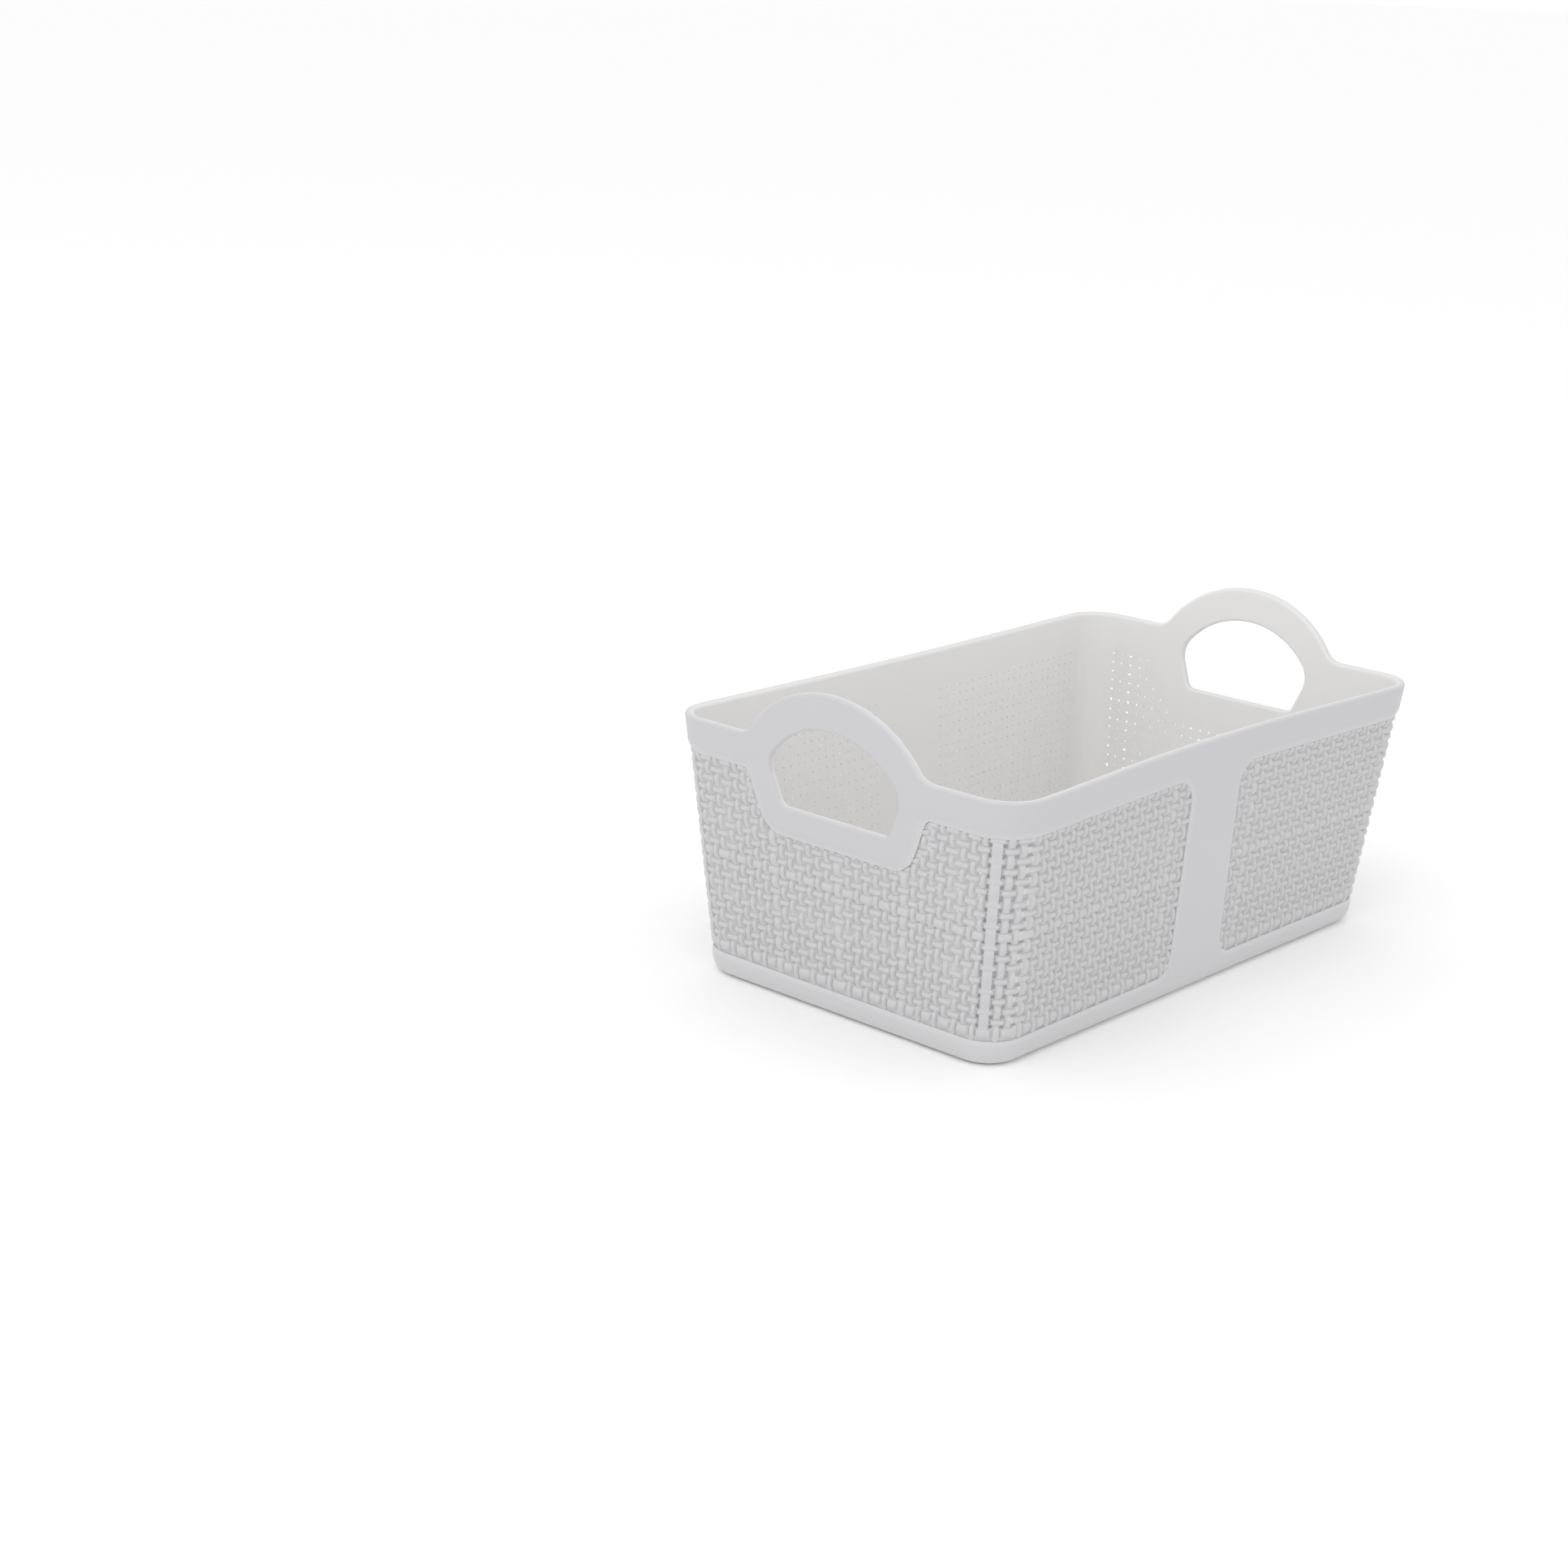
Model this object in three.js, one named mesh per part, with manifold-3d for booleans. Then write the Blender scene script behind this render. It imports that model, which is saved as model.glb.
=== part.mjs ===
// Woven-look storage basket with a loop handle at each end.
// Millimetres, +Z up. The origin is the middle of the base on the surface it stands on.
// X runs along the basket, Y across it. Left is -X, front is -Y.
//
// The basket is one moulding. Each mesh here is one moulded region of it.

import * as THREE from 'three';
import { mergeVertices } from 'three/addons/utils/BufferGeometryUtils.js';
import Module from 'manifold-3d';

const wasm = await Module();
wasm.setup();

// Driving dimensions
const RIM_HEIGHT = 90;
const TOP_LENGTH = 237.4;
const TOP_WIDTH = 144.4;
const TOP_RADIUS = 15;
const BASE_LENGTH = 219.4;
const BASE_WIDTH = 126.2;
const BASE_RADIUS = 13.5;
const FRONT_BOW = 4.6;
const BACK_BOW = 1.9;
const BOW_POWER = 1.5;

// Walls
const FLOOR_THICKNESS = 2.2;
const BOTTOM_FILLET = 4.7;
const WEAVE_SET_IN = 0.45;
const WEAVE_INNER = 2.85;
const RIM_THICKNESS = 3.15;
const RIM_EDGE_RADIUS = 1.2;
const BAND_CHAMFER_HEIGHT = 3.3;
const BAND_CHAMFER_DEPTH = 0.9;
const WEAVE_BOTTOM = 8.9;
const WEAVE_TOP = 77.7;
const STRIP_HALF_WIDTH = 14.5;

// Handles
const ARCH_RADIUS = 42.8;
const ARCH_CENTRE_Z = 67.1;
const ARCH_FILLET = 8;
const OPENING_TOP_RADIUS = 33;
const OPENING_TOP_CENTRE_Z = 64.8;
const SHOULDER_RADIUS = 8.95;
const SHOULDER_Z = 80.5;
const OPENING_FOOT_RADIUS = 3.5;
const OPENING_FOOT_Y = 20.8;
const OPENING_BOTTOM = 68.3;
const BORDER_BOTTOM = 57.8;
const BORDER_RADIUS = 10;
const BORDER_FLAT = 24;
const BORDER_SHOULDER = 38;
const HANDLE_HALF_WIDTH = 41;

// Where the regions meet
const SIDE_END_X = 96;
const END_SIDE_Y = 49.5;
const SEAM_GAP = 0.3;
const FAR = 400;
const ARC_POINTS = 8;
const SIDE_STEPS = 12;

const radians = (degrees) => THREE.MathUtils.degToRad(degrees);
const atHeight = (base, top, z) => base + (top - base) * z / RIM_HEIGHT;
const lengthAt = (z) => atHeight(BASE_LENGTH, TOP_LENGTH, z);
const widthAt = (z) => atHeight(BASE_WIDTH, TOP_WIDTH, z);
const radiusAt = (z) => atHeight(BASE_RADIUS, TOP_RADIUS, z);

// Turns a closed geometry into a solid that can be cut.
function solid(geometry) {
  const bare = geometry.clone();
  bare.deleteAttribute('normal');
  bare.deleteAttribute('uv');
  const merged = mergeVertices(bare, 1e-4);
  return new wasm.Manifold(new wasm.Mesh({
    numProp: 3,
    vertProperties: new Float32Array(merged.attributes.position.array),
    triVerts: new Uint32Array(merged.index.array),
  }));
}

function geometryOf(body) {
  const mesh = body.getMesh();
  const geometry = new THREE.BufferGeometry();
  geometry.setAttribute('position', new THREE.BufferAttribute(mesh.vertProperties, 3));
  geometry.setIndex(new THREE.BufferAttribute(mesh.triVerts, 1));
  geometry.computeVertexNormals();
  return geometry;
}

// An axis-aligned block between two corners.
function region(low, high) {
  const size = high.map((value, axis) => value - low[axis]);
  const middle = high.map((value, axis) => (value + low[axis]) / 2);
  return solid(new THREE.BoxGeometry(...size).translate(...middle));
}

// The rim's outline: four corner arcs, and enough points on the long sides to carry their bow.
function rimOutline() {
  const x = TOP_LENGTH / 2 - TOP_RADIUS;
  const y = TOP_WIDTH / 2 - TOP_RADIUS;
  const outline = new THREE.Shape();
  outline.absarc(x, y, TOP_RADIUS, radians(0), radians(90));
  for (let step = 1; step < SIDE_STEPS; step += 1) {
    outline.lineTo(x - 2 * x * step / SIDE_STEPS, TOP_WIDTH / 2);
  }
  outline.absarc(-x, y, TOP_RADIUS, radians(90), radians(180));
  outline.absarc(-x, -y, TOP_RADIUS, radians(180), radians(270));
  for (let step = 1; step < SIDE_STEPS; step += 1) {
    outline.lineTo(-x + 2 * x * step / SIDE_STEPS, -TOP_WIDTH / 2);
  }
  outline.absarc(x, -y, TOP_RADIUS, radians(270), radians(360));
  return outline;
}

// Moves a point of the rim outline down the drafted wall to height z, and in by inset.
function wallPoint(rimX, rimY, z, inset) {
  const rimCentreX = TOP_LENGTH / 2 - TOP_RADIUS;
  const rimCentreY = TOP_WIDTH / 2 - TOP_RADIUS;
  const nearX = THREE.MathUtils.clamp(rimX, -rimCentreX, rimCentreX);
  const nearY = THREE.MathUtils.clamp(rimY, -rimCentreY, rimCentreY);
  const centreX = nearX / rimCentreX * (lengthAt(z) / 2 - radiusAt(z));
  const centreY = nearY / rimCentreY * (widthAt(z) / 2 - radiusAt(z));
  const reach = (radiusAt(z) - inset) / TOP_RADIUS;
  const along = nearX / rimCentreX;
  const fullBow = rimY < 0 ? FRONT_BOW : -BACK_BOW;
  const bow = fullBow * (1 - along * along) ** BOW_POWER * z / RIM_HEIGHT;
  return [centreX + (rimX - nearX) * reach, centreY + (rimY - nearY) * reach + bow];
}

// A solid that fills the basket's outline, with its skin at each level's height and inset.
function levelBlock(levels) {
  const storeys = levels.length - 1;
  const geometry = new THREE.ExtrudeGeometry(rimOutline(), {
    depth: storeys, steps: storeys, curveSegments: ARC_POINTS, bevelEnabled: false,
  });
  const position = geometry.attributes.position;
  for (let index = 0; index < position.count; index += 1) {
    const [z, inset] = levels[Math.round(position.getZ(index))];
    const [x, y] = wallPoint(position.getX(index), position.getY(index), z, inset);
    position.setXYZ(index, x, y, z);
  }
  return solid(geometry);
}

// Base: a flat floor, and a curb that is rounded under its outer edge
function filletLevels(inset) {
  const steps = 4;
  return Array.from({ length: steps + 1 }, (_, step) => {
    const angle = radians(90 * step / steps);
    return [
      BOTTOM_FILLET * (1 - Math.cos(angle)),
      inset + BOTTOM_FILLET * (1 - Math.sin(angle)),
    ];
  });
}

const floorInset = WEAVE_SET_IN + BOTTOM_FILLET;
const floorPanel = levelBlock([
  [0, floorInset + SEAM_GAP],
  [FLOOR_THICKNESS, floorInset + SEAM_GAP],
]);
const curbRing = levelBlock([...filletLevels(WEAVE_SET_IN), [WEAVE_BOTTOM, WEAVE_SET_IN]])
  .subtract(levelBlock([
    [-1, floorInset],
    [FLOOR_THICKNESS, floorInset],
    [FLOOR_THICKNESS + floorInset - WEAVE_INNER, WEAVE_INNER],
    [WEAVE_BOTTOM + 1, WEAVE_INNER],
  ]));

// Woven walls: a shell with a plain thickness
const weaveRing = levelBlock([[WEAVE_BOTTOM, WEAVE_SET_IN], [WEAVE_TOP, WEAVE_SET_IN]])
  .subtract(levelBlock([[WEAVE_BOTTOM - 1, WEAVE_INNER], [WEAVE_TOP + 1, WEAVE_INNER]]));

// Rim band: a chamfer below, and a rounded top edge
function rimTopLevels(faceInset, direction) {
  const steps = 3;
  return Array.from({ length: steps + 1 }, (_, step) => {
    const angle = radians(90 * step / steps);
    return [
      RIM_HEIGHT - RIM_EDGE_RADIUS * (1 - Math.sin(angle)),
      faceInset + direction * RIM_EDGE_RADIUS * (1 - Math.cos(angle)),
    ];
  });
}

const rimRing = levelBlock([
  [WEAVE_TOP, BAND_CHAMFER_DEPTH],
  [WEAVE_TOP + BAND_CHAMFER_HEIGHT, 0],
  ...rimTopLevels(0, 1),
]).subtract(levelBlock([
  [WEAVE_TOP - 1, RIM_THICKNESS],
  ...rimTopLevels(RIM_THICKNESS, -1),
  [RIM_HEIGHT + 1, RIM_THICKNESS - RIM_EDGE_RADIUS],
]));

// Handle: arch, rim band and smooth border in one plate, grown by a clearance where it cuts
function handleOutline(clearance) {
  const half = HANDLE_HALF_WIDTH + clearance;
  const filletZ = RIM_HEIGHT + ARCH_FILLET;
  const filletY = Math.sqrt((ARCH_RADIUS + ARCH_FILLET) ** 2 - (filletZ - ARCH_CENTRE_Z) ** 2);
  const archAngle = Math.atan2(filletZ - ARCH_CENTRE_Z, filletY);
  const borderRadius = BORDER_RADIUS + clearance;
  const borderZ = BORDER_BOTTOM + BORDER_RADIUS;
  const outline = new THREE.Shape();
  outline.moveTo(half, WEAVE_TOP - clearance);
  outline.lineTo(half, RIM_HEIGHT);
  outline.absarc(filletY, filletZ, ARCH_FILLET, radians(-90), archAngle - Math.PI, true);
  outline.absarc(0, ARCH_CENTRE_Z, ARCH_RADIUS, archAngle, Math.PI - archAngle);
  outline.absarc(-filletY, filletZ, ARCH_FILLET, -archAngle, radians(-90), true);
  outline.lineTo(-half, RIM_HEIGHT);
  outline.lineTo(-half, WEAVE_TOP - clearance);
  outline.lineTo(-BORDER_SHOULDER - clearance, WEAVE_TOP - clearance);
  outline.absarc(-BORDER_FLAT, borderZ, borderRadius, radians(190), radians(270));
  outline.absarc(BORDER_FLAT, borderZ, borderRadius, radians(-90), radians(-10));
  outline.lineTo(BORDER_SHOULDER + clearance, WEAVE_TOP - clearance);
  outline.closePath();
  return outline;
}

// Finger opening: a large top arc, a shoulder arc each side and a small arc at each foot
function openingOutline() {
  const shoulderY = Math.sqrt(
    (OPENING_TOP_RADIUS - SHOULDER_RADIUS) ** 2 - (SHOULDER_Z - OPENING_TOP_CENTRE_Z) ** 2,
  );
  const topAngle = Math.atan2(SHOULDER_Z - OPENING_TOP_CENTRE_Z, shoulderY);
  const footZ = OPENING_BOTTOM + OPENING_FOOT_RADIUS;
  const run = new THREE.Vector2(OPENING_FOOT_Y - shoulderY, footZ - SHOULDER_Z);
  const lean = Math.acos((SHOULDER_RADIUS - OPENING_FOOT_RADIUS) / run.length());
  const sideAngle = Math.atan2(run.y, run.x) + lean;
  const opening = new THREE.Path();
  opening.absarc(shoulderY, SHOULDER_Z, SHOULDER_RADIUS, sideAngle, topAngle);
  opening.absarc(0, OPENING_TOP_CENTRE_Z, OPENING_TOP_RADIUS, topAngle, Math.PI - topAngle);
  opening.absarc(-shoulderY, SHOULDER_Z, SHOULDER_RADIUS, Math.PI - topAngle, Math.PI - sideAngle);
  opening.absarc(-OPENING_FOOT_Y, footZ, OPENING_FOOT_RADIUS, Math.PI - sideAngle, radians(270));
  opening.absarc(OPENING_FOOT_Y, footZ, OPENING_FOOT_RADIUS, radians(-90), sideAngle);
  return opening;
}

// Stands an outline drawn in (y, z) up in the leaning end wall, from one inset to another.
function endPlate(outline, side, fromInset, toInset) {
  const geometry = new THREE.ExtrudeGeometry(outline, {
    depth: toInset - fromInset, steps: 1, curveSegments: 2 * ARC_POINTS, bevelEnabled: false,
  });
  const position = geometry.attributes.position;
  for (let index = 0; index < position.count; index += 1) {
    const z = position.getY(index);
    const inset = toInset - position.getZ(index);
    position.setXYZ(index, lengthAt(z) / 2 - inset, position.getX(index), z);
  }
  return side > 0 ? solid(geometry) : solid(geometry).mirror([1, 0, 0]);
}

function handle(side) {
  const outline = handleOutline(0);
  outline.holes.push(openingOutline());
  return endPlate(outline, side, 0, RIM_THICKNESS);
}

function wovenEnd(side) {
  const inner = Math.min(side * SIDE_END_X, side * FAR);
  const outer = Math.max(side * SIDE_END_X, side * FAR);
  return weaveRing
    .intersect(region([inner, -END_SIDE_Y, 0], [outer, END_SIDE_Y, FAR]))
    .subtract(endPlate(handleOutline(SEAM_GAP), side, -RIM_THICKNESS, 2 * RIM_THICKNESS));
}

// The part of a ring that lies on one long side, between two places along it.
function longSide(ring, side, fromX, toX) {
  const lowY = side < 0 ? -FAR : 0;
  const highY = side < 0 ? 0 : FAR;
  return ring.intersect(region([fromX, lowY, -FAR], [toX, highY, FAR]));
}

// The part of a ring beyond x and y in one corner.
function corner(ring, sideX, sideY, x, y) {
  const low = [Math.min(sideX * x, sideX * FAR), Math.min(sideY * y, sideY * FAR), -FAR];
  const high = [Math.max(sideX * x, sideX * FAR), Math.max(sideY * y, sideY * FAR), FAR];
  return ring.intersect(region(low, high));
}

function endStretch(ring, side) {
  const low = [Math.min(side * SIDE_END_X, side * FAR), -END_SIDE_Y, -FAR];
  const high = [Math.max(side * SIDE_END_X, side * FAR), END_SIDE_Y, FAR];
  return ring.intersect(region(low, high));
}

const basket = new THREE.Group();

function add(name, body, shade) {
  const material = new THREE.MeshStandardMaterial({
    color: new THREE.Color(shade, shade, shade), roughness: 0.45, metalness: 0,
  });
  const mesh = new THREE.Mesh(geometryOf(body), material);
  mesh.name = name;
  basket.add(mesh);
}

const SMOOTH_SHADE = 0.8;
const WOVEN_SHADE = 0.76;

add('floor_panel', floorPanel, SMOOTH_SHADE);
for (const [face, sideY] of [['front', -1], ['back', 1]]) {
  add(`curb_${face}`, longSide(curbRing, sideY, -SIDE_END_X, SIDE_END_X), SMOOTH_SHADE);
  add(`woven_${face}_left`, longSide(weaveRing, sideY, -SIDE_END_X, -STRIP_HALF_WIDTH), WOVEN_SHADE);
  add(`centre_strip_${face}`, longSide(weaveRing, sideY, -STRIP_HALF_WIDTH, STRIP_HALF_WIDTH),
    SMOOTH_SHADE);
  add(`woven_${face}_right`, longSide(weaveRing, sideY, STRIP_HALF_WIDTH, SIDE_END_X), WOVEN_SHADE);
  add(`rim_${face}`, longSide(rimRing, sideY, -SIDE_END_X, SIDE_END_X), SMOOTH_SHADE);
}
for (const [end, sideX] of [['left', -1], ['right', 1]]) {
  add(`curb_${end}`, endStretch(curbRing, sideX), SMOOTH_SHADE);
  add(`woven_${end}`, wovenEnd(sideX), WOVEN_SHADE);
  add(`handle_${end}`, handle(sideX), SMOOTH_SHADE);
  for (const [face, sideY] of [['front', -1], ['back', 1]]) {
    const place = `${face}_${end}`;
    add(`curb_corner_${place}`, corner(curbRing, sideX, sideY, SIDE_END_X, END_SIDE_Y),
      SMOOTH_SHADE);
    add(`woven_corner_${place}`, corner(weaveRing, sideX, sideY, SIDE_END_X, END_SIDE_Y),
      WOVEN_SHADE);
    add(`rim_corner_${place}`, corner(rimRing, sideX, sideY, SIDE_END_X, HANDLE_HALF_WIDTH),
      SMOOTH_SHADE);
  }
}

export default basket;
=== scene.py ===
# Looks of the woven-look storage basket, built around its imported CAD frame. Metres, +Z up.
# Left is -X, front is -Y. Sizes below are in millimetres and are scaled once, in add_piece.

import math

import bmesh
import bpy
import numpy as np
from mathutils import Matrix, Vector
from mathutils.geometry import tessellate_polygon


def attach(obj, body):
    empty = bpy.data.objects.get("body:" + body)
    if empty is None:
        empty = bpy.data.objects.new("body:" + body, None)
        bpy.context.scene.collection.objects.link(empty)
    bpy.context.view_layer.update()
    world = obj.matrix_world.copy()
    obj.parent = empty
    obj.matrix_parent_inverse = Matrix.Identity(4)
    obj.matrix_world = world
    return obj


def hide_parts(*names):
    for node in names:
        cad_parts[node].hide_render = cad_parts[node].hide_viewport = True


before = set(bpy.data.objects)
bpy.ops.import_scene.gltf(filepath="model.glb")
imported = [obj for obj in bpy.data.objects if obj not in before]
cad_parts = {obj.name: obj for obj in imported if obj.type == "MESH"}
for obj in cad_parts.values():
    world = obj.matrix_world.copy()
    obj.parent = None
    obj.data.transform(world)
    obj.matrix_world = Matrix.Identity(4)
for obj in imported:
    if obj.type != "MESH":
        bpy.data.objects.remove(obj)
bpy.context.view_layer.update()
MM = 0.001

# ---------------------------------------------------------------- driving dimensions, millimetres
RIM_HEIGHT = 90.0
TOP_LENGTH, TOP_WIDTH, TOP_RADIUS = 237.4, 144.4, 15.0
BASE_LENGTH, BASE_WIDTH, BASE_RADIUS = 219.4, 126.2, 13.5
FRONT_BOW, BACK_BOW, BOW_POWER = 4.6, 1.9, 1.5

FLOOR_THICKNESS = 2.2
BOTTOM_FILLET = 4.7
INSIDE_FILLET = 3.0
CURB_SET_IN = 0.45
FLOOR_SEAM = 6.35
CURB_TOP = 8.9
INNER, PLATE_INNER = 3.0, 3.03
BAND_BOTTOM = 77.7
RIM_EDGE = 1.2
BAND_ROLL_DEPTH, BAND_ROLL_REACH = 0.95, 3.3
CURB_ROLL_DEPTH, CURB_ROLL_REACH = 0.5, 2.0
ROLL_POWER = 1.6

# How far into the wall the gaps, the highest strands and the blind gaps lie
WEAVE_BASE, WEAVE_CREST, BLIND_INSET = 1.95, 0.5, 2.7
WEAVE_TOP = 78.6
# How much of its height each kind loses at its ends. Strands with a half width from FLAT_FROM are ribbons
ROD_DIP, STRAND_DIP, RIBBON_DIP, FLAT_FROM = 0.25, 0.75, 0.2, 1.6
STRAND_TAPER = 0.2
STRIP_TOP_HALF, STRIP_FOOT_HALF = 14.0, 16.0
STRIP_CORE, STRIP_DEPTH = 12.5, 2.4
# Painted light: how much paler the inner faces are painted, where the deepest gap is 1. It stands in for
# light passing through the thin wall
INSIDE_PAINTED_LIGHT = 1.5
PANEL_TOP_RADIUS, PANEL_FOOT_RADIUS = 9.0, 7.0

HANDLE_HALF = 41.0
ARCH_RADIUS, ARCH_Z, ARCH_FILLET = 42.8, 67.1, 8.0
OPENING_RADIUS, OPENING_Z = 33.0, 64.8
SHOULDER_RADIUS, SHOULDER_Z = 8.95, 80.5
FOOT_RADIUS, FOOT_Y, OPENING_BOTTOM = 3.5, 20.8, 68.3
OPENING_EDGE = 0.9
BORDER_BOTTOM, BORDER_RADIUS, BORDER_FLAT = 57.8, 10.0, 24.0
BORDER_SHOULDER, NOTCH_FILLET = 38.0, 2.5

# Looks. Grain scale is per metre and grain depth is in metres
ROUGHNESS, ROUGHNESS_SPREAD = 0.42, 0.12
GRAIN_SCALE, GRAIN_DEPTH = 700, 0.0002
# The face colour is the plastic's own. The second colour is painted light: a paler tint for gaps and the
# inside, standing in for light passing through the thin wall
FACE_COLOUR, PAINTED_LIGHT_COLOUR = (0.55, 0.545, 0.56), (0.70, 0.695, 0.695)
SMOOTH_STRETCH, SMOOTH_BUMP = 8, 0.12
WOVEN_STRETCH, WOVEN_BUMP = 1.5, 0.2
STAGE_COLOUR, STAGE_HALF = (0.98, 0.98, 0.98), 60
KEY_PLACE, KEY_AIM, KEY_SIZE, KEY_POWER = (-1.1, -0.3, 1.6), (0, 0, 0.05), 1.2, 6

# Mesh limits: edges sharper than this are creases, and points nearer than this are one point
CREASE_DEGREES = 50.0
SAME_PLACE = 1e-3
ON_EDGE = 0.01

# Along the rim from the middle of an end: straight, corner arc, then the long side
END_RUN = TOP_WIDTH / 2 - TOP_RADIUS
SIDE_RUN = TOP_LENGTH / 2 - TOP_RADIUS
ARC_RUN = math.pi / 2 * TOP_RADIUS
WHOLE_RUN = END_RUN + ARC_RUN + SIDE_RUN


# ---------------------------------------------------------------- the drafted wall
def at_height(base, top, z):
    return base + (top - base) * z / RIM_HEIGHT


def wall(end, side, run, z, inset):
    """Points of the wall in one quarter of the basket. end and side are the signs of X and Y,
    run is the way along the rim from the middle of the end, inset goes into the wall."""
    length, width = at_height(BASE_LENGTH, TOP_LENGTH, z), at_height(BASE_WIDTH, TOP_WIDTH, z)
    radius = at_height(BASE_RADIUS, TOP_RADIUS, z)
    centre_x, centre_y = length / 2 - radius, width / 2 - radius
    along_end = np.clip(run / END_RUN, 0, 1)
    angle = np.clip((run - END_RUN) / TOP_RADIUS, 0, math.pi / 2)
    along_side = np.clip((WHOLE_RUN - run) / SIDE_RUN, 0, 1)
    full_bow = np.where(side < 0, FRONT_BOW, BACK_BOW)
    bow = full_bow * (1 - along_side ** 2) ** BOW_POWER * z / RIM_HEIGHT
    x = end * (centre_x * along_side + (radius - inset) * np.cos(angle))
    y = side * (centre_y * along_end + (radius - inset) * np.sin(angle) - bow)
    return np.stack(np.broadcast_arrays(x, y, z), -1)


def end_wall(end):
    """Wall points by the signed way from the middle of an end."""
    return lambda s, z, inset: wall(end, np.where(s < 0, -1.0, 1.0), np.abs(s), z, inset)


def side_wall(side):
    """Wall points by the signed way from the middle of a long side."""
    return lambda s, z, inset: wall(np.where(s < 0, -1.0, 1.0), side, WHOLE_RUN - np.abs(s), z, inset)


def corner_wall(end, side):
    return lambda s, z, inset: wall(end, side, s, z, inset)


# ---------------------------------------------------------------- meshes
def add_piece(name, points, depth, faces, material):
    """A visible piece, made from a closed mesh in millimetres, that stands for the CAD node of its name.
    depth says how far each point is into the wall, from 0 on the face to 1 in the deepest gap. The
    material paints points paler by it, as painted light that stands in for light passing through the thin
    wall."""
    points = np.asarray(points, float) * MM
    counts = np.fromiter((len(face) for face in faces), np.int32, len(faces))
    corners = np.fromiter((index for face in faces for index in face), np.int32, counts.sum())
    mesh = bpy.data.meshes.new(name)
    mesh.vertices.add(len(points))
    mesh.vertices.foreach_set("co", points.astype(np.float32).ravel())
    mesh.loops.add(len(corners))
    mesh.loops.foreach_set("vertex_index", corners)
    mesh.polygons.add(len(counts))
    mesh.polygons.foreach_set("loop_start", (np.cumsum(counts) - counts).astype(np.int32))
    mesh.update(calc_edges=True)
    face_outwards(mesh)
    mesh.shade_smooth()
    mesh.set_sharp_from_angle(angle=math.radians(CREASE_DEGREES))
    mesh.materials.append(material)
    layer = mesh.attributes.new("depth", "FLOAT", "POINT")
    layer.data.foreach_set("value", np.asarray(depth, np.float32))
    piece = bpy.data.objects.new(name, mesh)
    bpy.context.scene.collection.objects.link(piece)
    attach(piece, "root")
    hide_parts(name)
    return piece


def face_outwards(mesh):
    edit = bmesh.new()
    edit.from_mesh(mesh)
    bmesh.ops.recalc_face_normals(edit, faces=edit.faces)
    edit.to_mesh(mesh)
    edit.free()


def grid_faces(rows, columns, closed=False, first=0):
    """Quads of a grid of points, row after row. closed joins the last column to the first."""
    row = np.arange(rows - 1)[:, None]
    column = np.arange(columns if closed else columns - 1)[None, :]
    after = (column + 1) % columns
    quads = np.stack([row * columns + column, row * columns + after,
                      (row + 1) * columns + after, (row + 1) * columns + column], -1)
    return (quads.reshape(-1, 4) + first).tolist()


def arc(centre, radius, start, end, step=4.0):
    """Points of an arc, and the unit directions from its centre. Angles are in degrees."""
    count = max(2, math.ceil(abs(end - start) / step)) + 1
    angle = np.radians(np.linspace(start, end, count))
    outwards = np.stack([np.cos(angle), np.sin(angle)], -1)
    return np.asarray(centre) + radius * outwards, outwards


def swept_piece(name, section, place, stations, material):
    """A bar along the wall. section gives the closed loop of (height, inset) at each station."""
    loops = [np.array(section(station)) for station in stations]
    # Deeper points get more painted light, a paler tint, up to the inside's amount on the inner side
    depth = np.concatenate([loop[:, 1] for loop in loops]) / INNER * INSIDE_PAINTED_LIGHT
    points = np.concatenate([place(station, loop[:, 0], loop[:, 1])
                             for station, loop in zip(stations, loops)])
    count = len(loops[0])
    faces = grid_faces(len(stations), count, closed=True)
    faces.append(list(range(count)))
    faces.append(list(range(len(points) - count, len(points))))
    return add_piece(name, points, depth, faces, material)


# ---------------------------------------------------------------- sections of the smooth bars
SUPPORT = 0.12


def eased(corner, before, after, radius, steps=5):
    """A section's corner rounded to a radius, with a point just outside each end of the arc."""
    corner, before, after = (np.asarray(point, float) for point in (corner, before, after))
    back = (before - corner) / np.linalg.norm(before - corner)
    ahead = (after - corner) / np.linalg.norm(after - corner)
    half_angle = math.acos(np.clip(back @ ahead, -1, 1)) / 2
    reach = radius / math.tan(half_angle)
    middle = (back + ahead) / np.linalg.norm(back + ahead)
    centre = corner + middle * radius / math.sin(half_angle)
    start, end = corner + back * reach - centre, corner + ahead * reach - centre
    swing = math.pi - 2 * half_angle
    points = [corner + back * (reach + SUPPORT)]
    for step in range(steps + 1):
        share = step / steps
        points.append(centre + (start * math.sin((1 - share) * swing)
                                + end * math.sin(share * swing)) / math.sin(swing))
    points.append(corner + ahead * (reach + SUPPORT))
    return [tuple(point) for point in points]


def section_of(corners):
    """A closed section from (height, inset, radius) corners."""
    points = []
    for index, (height, inset, radius) in enumerate(corners):
        before, after = corners[index - 1][:2], corners[(index + 1) % len(corners)][:2]
        if radius:
            points += eased((height, inset), before, after, radius)
        else:
            points.append((height, inset))
    return points


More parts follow.
